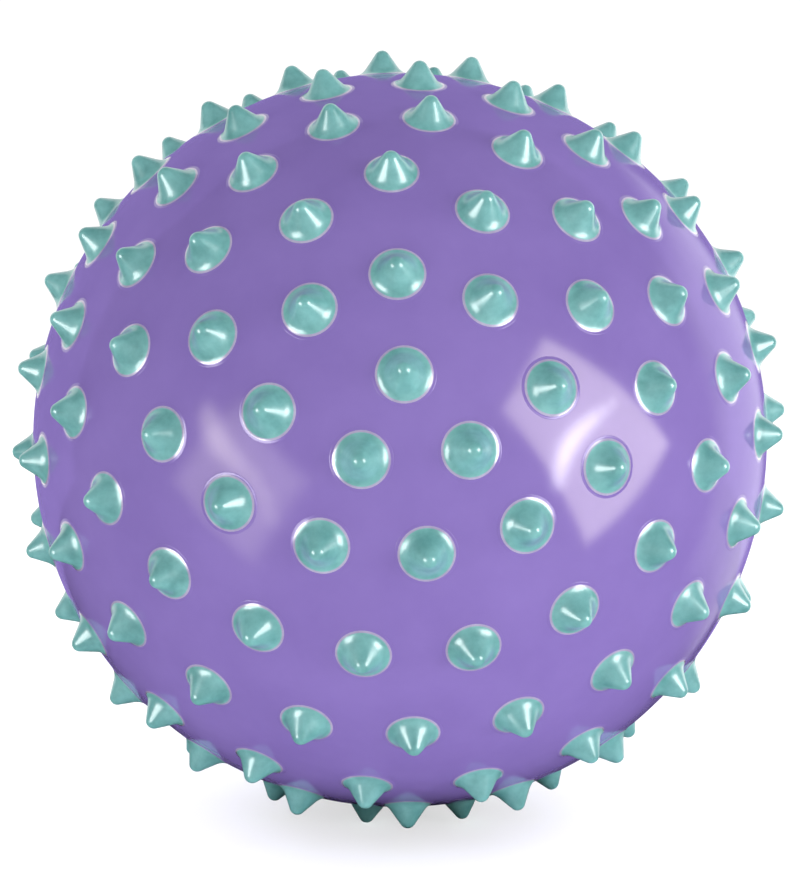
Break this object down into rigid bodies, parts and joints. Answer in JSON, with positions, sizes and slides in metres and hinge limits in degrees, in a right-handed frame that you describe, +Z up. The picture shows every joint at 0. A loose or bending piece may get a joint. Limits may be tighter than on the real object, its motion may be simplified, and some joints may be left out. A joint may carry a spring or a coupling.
{
  "type": "sensory ball",
  "caption": "Air-filled vinyl ball covered in soft, blunt nubs for gripping, rolling and massage, filled through a plugged valve.",
  "frame": {"origin": "centre of the ball", "axes": "+Z up, with the ball standing on its lowest nubs; -Y towards the viewer; the axis that the rings of nubs run round leans forward from +Z, with the valve at its back end"},
  "size_m": [0.1789, 0.1798, 0.1784],
  "materials": {
    "skin_vinyl": "gloss",
    "nub_vinyl": "gloss",
    "valve_vinyl": "satin",
    "plug_vinyl": "satin"
  },
  "bodies": {
    "ball": {"ball_skin": "skin_vinyl", "nub_front": "nub_vinyl", "nub_ring_01": "nub_vinyl", "nub_ring_02": "nub_vinyl", "nub_ring_03": "nub_vinyl", "nub_ring_04": "nub_vinyl", "nub_ring_05": "nub_vinyl", "nub_ring_06": "nub_vinyl", "nub_ring_07": "nub_vinyl", "nub_ring_08": "nub_vinyl", "nub_ring_09": "nub_vinyl", "nub_ring_10": "nub_vinyl", "nub_ring_11": "nub_vinyl", "nub_ring_12": "nub_vinyl", "valve_body": "valve_vinyl"},
    "plug": {"valve_plug": "plug_vinyl"}
  },
  "joints": [
    {"name": "plug_pull", "type": "slide", "parent": "ball", "child": "plug", "axis": [0.0066, 0.8829, -0.4694], "range_m": [0, 0.03]}
  ]
}
